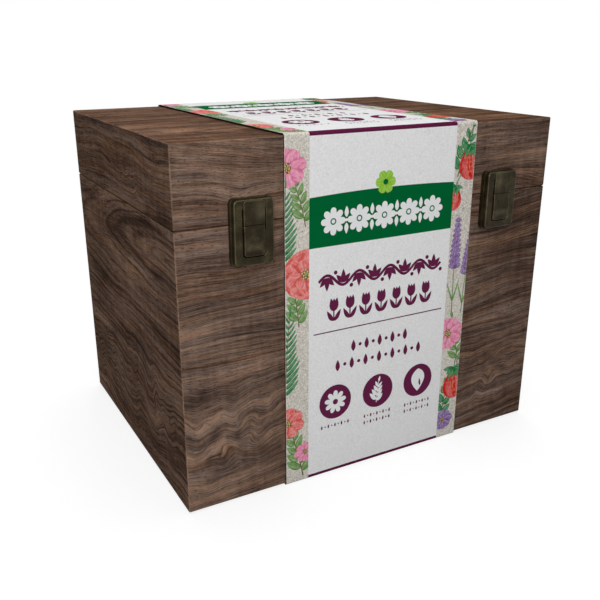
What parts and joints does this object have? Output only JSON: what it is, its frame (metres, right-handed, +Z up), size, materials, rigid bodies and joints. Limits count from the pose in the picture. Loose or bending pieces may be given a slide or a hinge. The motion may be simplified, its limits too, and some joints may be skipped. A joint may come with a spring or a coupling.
{
  "type": "garden seed organizer box",
  "caption": "Wooden box with a deep hinged lid, toggle latches and a printed card sleeve, divided inside for seed packets, index cards and small garden tools.",
  "frame": {"origin": "on the surface that the box stands on, under the middle of the case", "axes": "+Z up, front with the latches facing -Y, +X to the right seen from the front"},
  "size_m": [0.28, 0.228, 0.2318],
  "materials": {
    "walnut": "satin walnut",
    "floor_wood": "satin walnut veneer",
    "sleeve_card": "printed uncoated card",
    "antique_bronze": "antique bronze, brushed",
    "card_stock": "matte card",
    "notebook_paper": "uncoated paper",
    "kraft_cover": "kraft board",
    "coil_wire": "coated wire",
    "label_wood": "sanded birch",
    "pen_plastic": "satin",
    "pen_cap_plastic": "gloss"
  },
  "bodies": {
    "case": {"floor_panel": "floor_wood", "body_front": "walnut", "body_back": "walnut", "body_left": "walnut", "body_right": "walnut", "divider_1": "walnut", "divider_2": "walnut", "sleeve_body": "sleeve_card", "body_latch_screws": "antique_bronze", "body_hinge_screws": "antique_bronze", "hinge_left_body_leaf": "antique_bronze", "hinge_left_pin": "antique_bronze", "hinge_right_body_leaf": "antique_bronze", "hinge_right_pin": "antique_bronze", "latch_left_base": "antique_bronze", "latch_left_pivots": "antique_bronze", "latch_right_base": "antique_bronze", "latch_right_pivots": "antique_bronze", "index_card_01": "card_stock", "index_card_02": "card_stock", "index_card_03": "card_stock", "index_card_04": "card_stock", "index_card_05": "card_stock", "index_card_06": "card_stock", "index_card_07": "card_stock", "index_card_08": "card_stock", "index_card_09": "card_stock", "index_card_10": "card_stock", "index_card_11": "card_stock", "index_card_12": "card_stock", "notebook_pages": "notebook_paper", "notebook_covers": "kraft_cover", "notebook_coil": "coil_wire", "plant_labels": "label_wood", "pen_barrel": "pen_plastic", "pen_cap": "pen_cap_plastic"},
    "lid": {"lid_panel": "walnut", "lid_front": "walnut", "lid_back": "walnut", "lid_left": "walnut", "lid_right": "walnut", "sleeve_lid": "sleeve_card", "lid_latch_screws": "antique_bronze", "lid_hinge_screws": "antique_bronze", "hinge_left_lid_leaf": "antique_bronze", "hinge_right_lid_leaf": "antique_bronze", "latch_left_keeper": "antique_bronze", "latch_right_keeper": "antique_bronze"},
    "left_lever": {"latch_left_lever": "antique_bronze"},
    "left_hasp": {"latch_left_hasp": "antique_bronze", "latch_left_rivets": "antique_bronze"},
    "right_lever": {"latch_right_lever": "antique_bronze"},
    "right_hasp": {"latch_right_hasp": "antique_bronze", "latch_right_rivets": "antique_bronze"}
  },
  "joints": [
    {"name": "lid_hinge", "type": "hinge", "parent": "case", "child": "lid", "pos_m": [0, 0.1092, 0.1825], "axis": [-1, 0, 0], "range_deg": [0, 100]},
    {"name": "left_lever_hinge", "type": "hinge", "parent": "case", "child": "left_lever", "pos_m": [-0.0937, -0.112, 0.1813], "axis": [-1, 0, 0], "range_deg": [0, 120]},
    {"name": "left_hasp_hinge", "type": "hinge", "parent": "left_lever", "child": "left_hasp", "pos_m": [-0.0937, -0.1116, 0.1753], "axis": [-1, 0, 0], "range_deg": [-120, 0]},
    {"name": "right_lever_hinge", "type": "hinge", "parent": "case", "child": "right_lever", "pos_m": [0.0937, -0.112, 0.1813], "axis": [-1, 0, 0], "range_deg": [0, 120]},
    {"name": "right_hasp_hinge", "type": "hinge", "parent": "right_lever", "child": "right_hasp", "pos_m": [0.0937, -0.1116, 0.1753], "axis": [-1, 0, 0], "range_deg": [-120, 0]}
  ],
  "couplings": [
    {"joint": "left_hasp_hinge", "follows": "left_lever_hinge", "ratio": -1},
    {"joint": "right_hasp_hinge", "follows": "right_lever_hinge", "ratio": -1}
  ]
}
